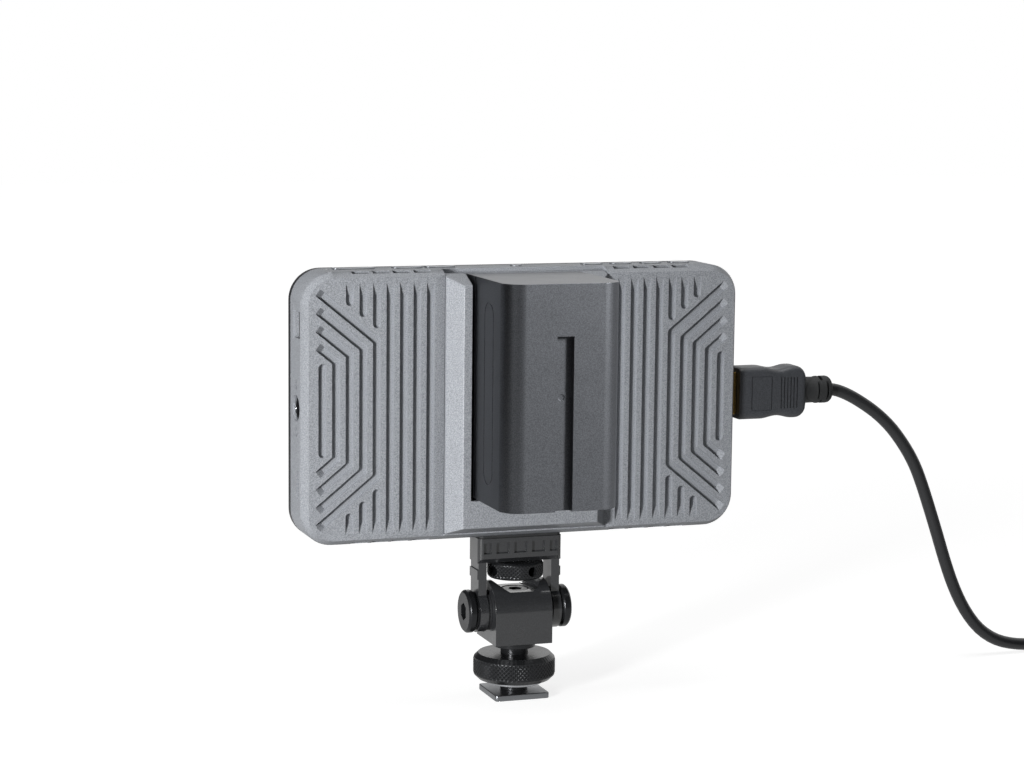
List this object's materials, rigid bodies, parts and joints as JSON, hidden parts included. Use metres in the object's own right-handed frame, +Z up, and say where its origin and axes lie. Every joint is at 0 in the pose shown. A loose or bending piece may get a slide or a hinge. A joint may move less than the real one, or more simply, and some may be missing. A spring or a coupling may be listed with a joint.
{
  "type": "camera field monitor",
  "caption": "Shallow field monitor with grooved back, slide-on battery, top keys and side ports, on a tilting and panning shoe mount with a knurled lock wheel; video cable plugged in.",
  "frame": {"origin": "middle of the shoe foot's underside", "axes": "+Z up, screen faces -Y, battery on the +Y side, side thread on +X, video plug on -X"},
  "size_m": [0.3225, 0.1037, 0.1414],
  "materials": {
    "case_grey": "metallic grey paint on a moulded shell, fine sparkle",
    "black_plastic": "fine matt moulded black",
    "screen_glass": "polished dark cover glass",
    "display": "switched-off display",
    "white_plastic": "white diffusing plastic",
    "plain_metal": "plain satin aluminium",
    "steel": "bright steel",
    "circuit_board": "green lacquered board",
    "chip_black": "moulded chip black",
    "key_grey": "satin grey keys",
    "gold_plate": "thin gold plating",
    "battery_grey": "fine spark-eroded dark grey",
    "cell_wrap": "shrink-wrapped cell",
    "black_rubber": "matt rubber",
    "mount_black": "black anodised, bead blasted",
    "black_steel": "black finished steel",
    "plug_black": "satin overmould with fine grain",
    "cable_black": "smooth satin cable jacket"
  },
  "bodies": {
    "base": {"shoe_foot": "plain_metal", "lock_stem": "black_steel", "swivel_bolt": "black_steel", "swivel_washer": "steel", "lock_washer": "steel"},
    "lock_wheel": {"lock_wheel": "mount_black"},
    "swivel_block": {"hinge_block": "mount_black", "friction_washers": "black_plastic", "bolt_washers": "black_steel", "pivot_bolts": "black_steel", "cable_run": "cable_black", "cable_coil": "cable_black", "cable_tie": "cable_black", "far_strain_relief": "cable_black", "far_plug_body": "plug_black", "far_plug_shell": "gold_plate"},
    "battery": {"battery_base": "battery_grey", "battery_shell": "battery_grey", "battery_cells": "cell_wrap", "battery_board": "circuit_board"},
    "thumb_wheel": {"thumb_wheel": "mount_black"},
    "menu_button": {"menu_button": "key_grey"},
    "up_button": {"up_button": "key_grey"},
    "down_button": {"down_button": "key_grey"},
    "power_button": {"power_button": "key_grey"},
    "function_button_1": {"function_button_1": "key_grey"},
    "function_button_2": {"function_button_2": "key_grey"},
    "function_button_3": {"function_button_3": "key_grey"},
    "function_button_4": {"function_button_4": "key_grey"},
    "monitor_head": {"rear_cover": "case_grey", "front_bezel": "black_plastic", "cover_glass": "screen_glass", "lcd_panel": "display", "backlight": "white_plastic", "mid_frame": "plain_metal", "case_screws": "steel", "main_board": "circuit_board", "board_screws": "steel", "board_chips": "chip_black", "heat_block": "plain_metal", "button_board": "circuit_board", "tact_switches": "steel", "status_light": "white_plastic", "side_insert": "steel", "bottom_insert": "steel", "dc_jack": "black_plastic", "usb_socket": "steel", "hdmi_socket": "steel", "battery_plate": "case_grey", "battery_surround": "case_grey", "plate_screws": "steel", "terminal_block": "black_plastic", "contact_blades": "gold_plate", "grip_pad": "black_rubber", "fork_bracket": "mount_black", "plug_shell": "gold_plate", "plug_body": "plug_black", "strain_relief": "cable_black"}
  },
  "joints": [
    {"name": "lock_turn", "type": "hinge", "parent": "base", "child": "lock_wheel", "pos_m": [0, 0, 0.01], "axis": [0, 0, -1], "range_deg": [0, 360]},
    {"name": "pan", "type": "hinge", "parent": "base", "child": "swivel_block", "pos_m": [0, 0, 0], "axis": [0, 0, 1], "continuous": true},
    {"name": "tilt", "type": "hinge", "parent": "swivel_block", "child": "monitor_head", "pos_m": [0, 0, 0.0287], "axis": [1, 0, 0], "range_deg": [-90, 90]},
    {"name": "stud_turn", "type": "hinge", "parent": "monitor_head", "child": "thumb_wheel", "pos_m": [0, 0, 0.042], "axis": [0, 0, 1], "continuous": true},
    {"name": "battery_slide", "type": "slide", "parent": "monitor_head", "child": "battery", "axis": [0, 0, 1], "range_m": [0, 0.037]},
    {"name": "menu_press", "type": "slide", "parent": "monitor_head", "child": "menu_button", "axis": [0, 0, -1], "range_m": [0, 0.0005], "stiffness_N_per_m": 1500, "springref_m": -0.0002},
    {"name": "up_press", "type": "slide", "parent": "monitor_head", "child": "up_button", "axis": [0, 0, -1], "range_m": [0, 0.0005], "stiffness_N_per_m": 1500, "springref_m": -0.0002},
    {"name": "down_press", "type": "slide", "parent": "monitor_head", "child": "down_button", "axis": [0, 0, -1], "range_m": [0, 0.0005], "stiffness_N_per_m": 1500, "springref_m": -0.0002},
    {"name": "power_press", "type": "slide", "parent": "monitor_head", "child": "power_button", "axis": [0, 0, -1], "range_m": [0, 0.0005], "stiffness_N_per_m": 1500, "springref_m": -0.0002},
    {"name": "function_1_press", "type": "slide", "parent": "monitor_head", "child": "function_button_1", "axis": [0, 0, -1], "range_m": [0, 0.0005], "stiffness_N_per_m": 1500, "springref_m": -0.0002},
    {"name": "function_2_press", "type": "slide", "parent": "monitor_head", "child": "function_button_2", "axis": [0, 0, -1], "range_m": [0, 0.0005], "stiffness_N_per_m": 1500, "springref_m": -0.0002},
    {"name": "function_3_press", "type": "slide", "parent": "monitor_head", "child": "function_button_3", "axis": [0, 0, -1], "range_m": [0, 0.0005], "stiffness_N_per_m": 1500, "springref_m": -0.0002},
    {"name": "function_4_press", "type": "slide", "parent": "monitor_head", "child": "function_button_4", "axis": [0, 0, -1], "range_m": [0, 0.0005], "stiffness_N_per_m": 1500, "springref_m": -0.0002}
  ]
}
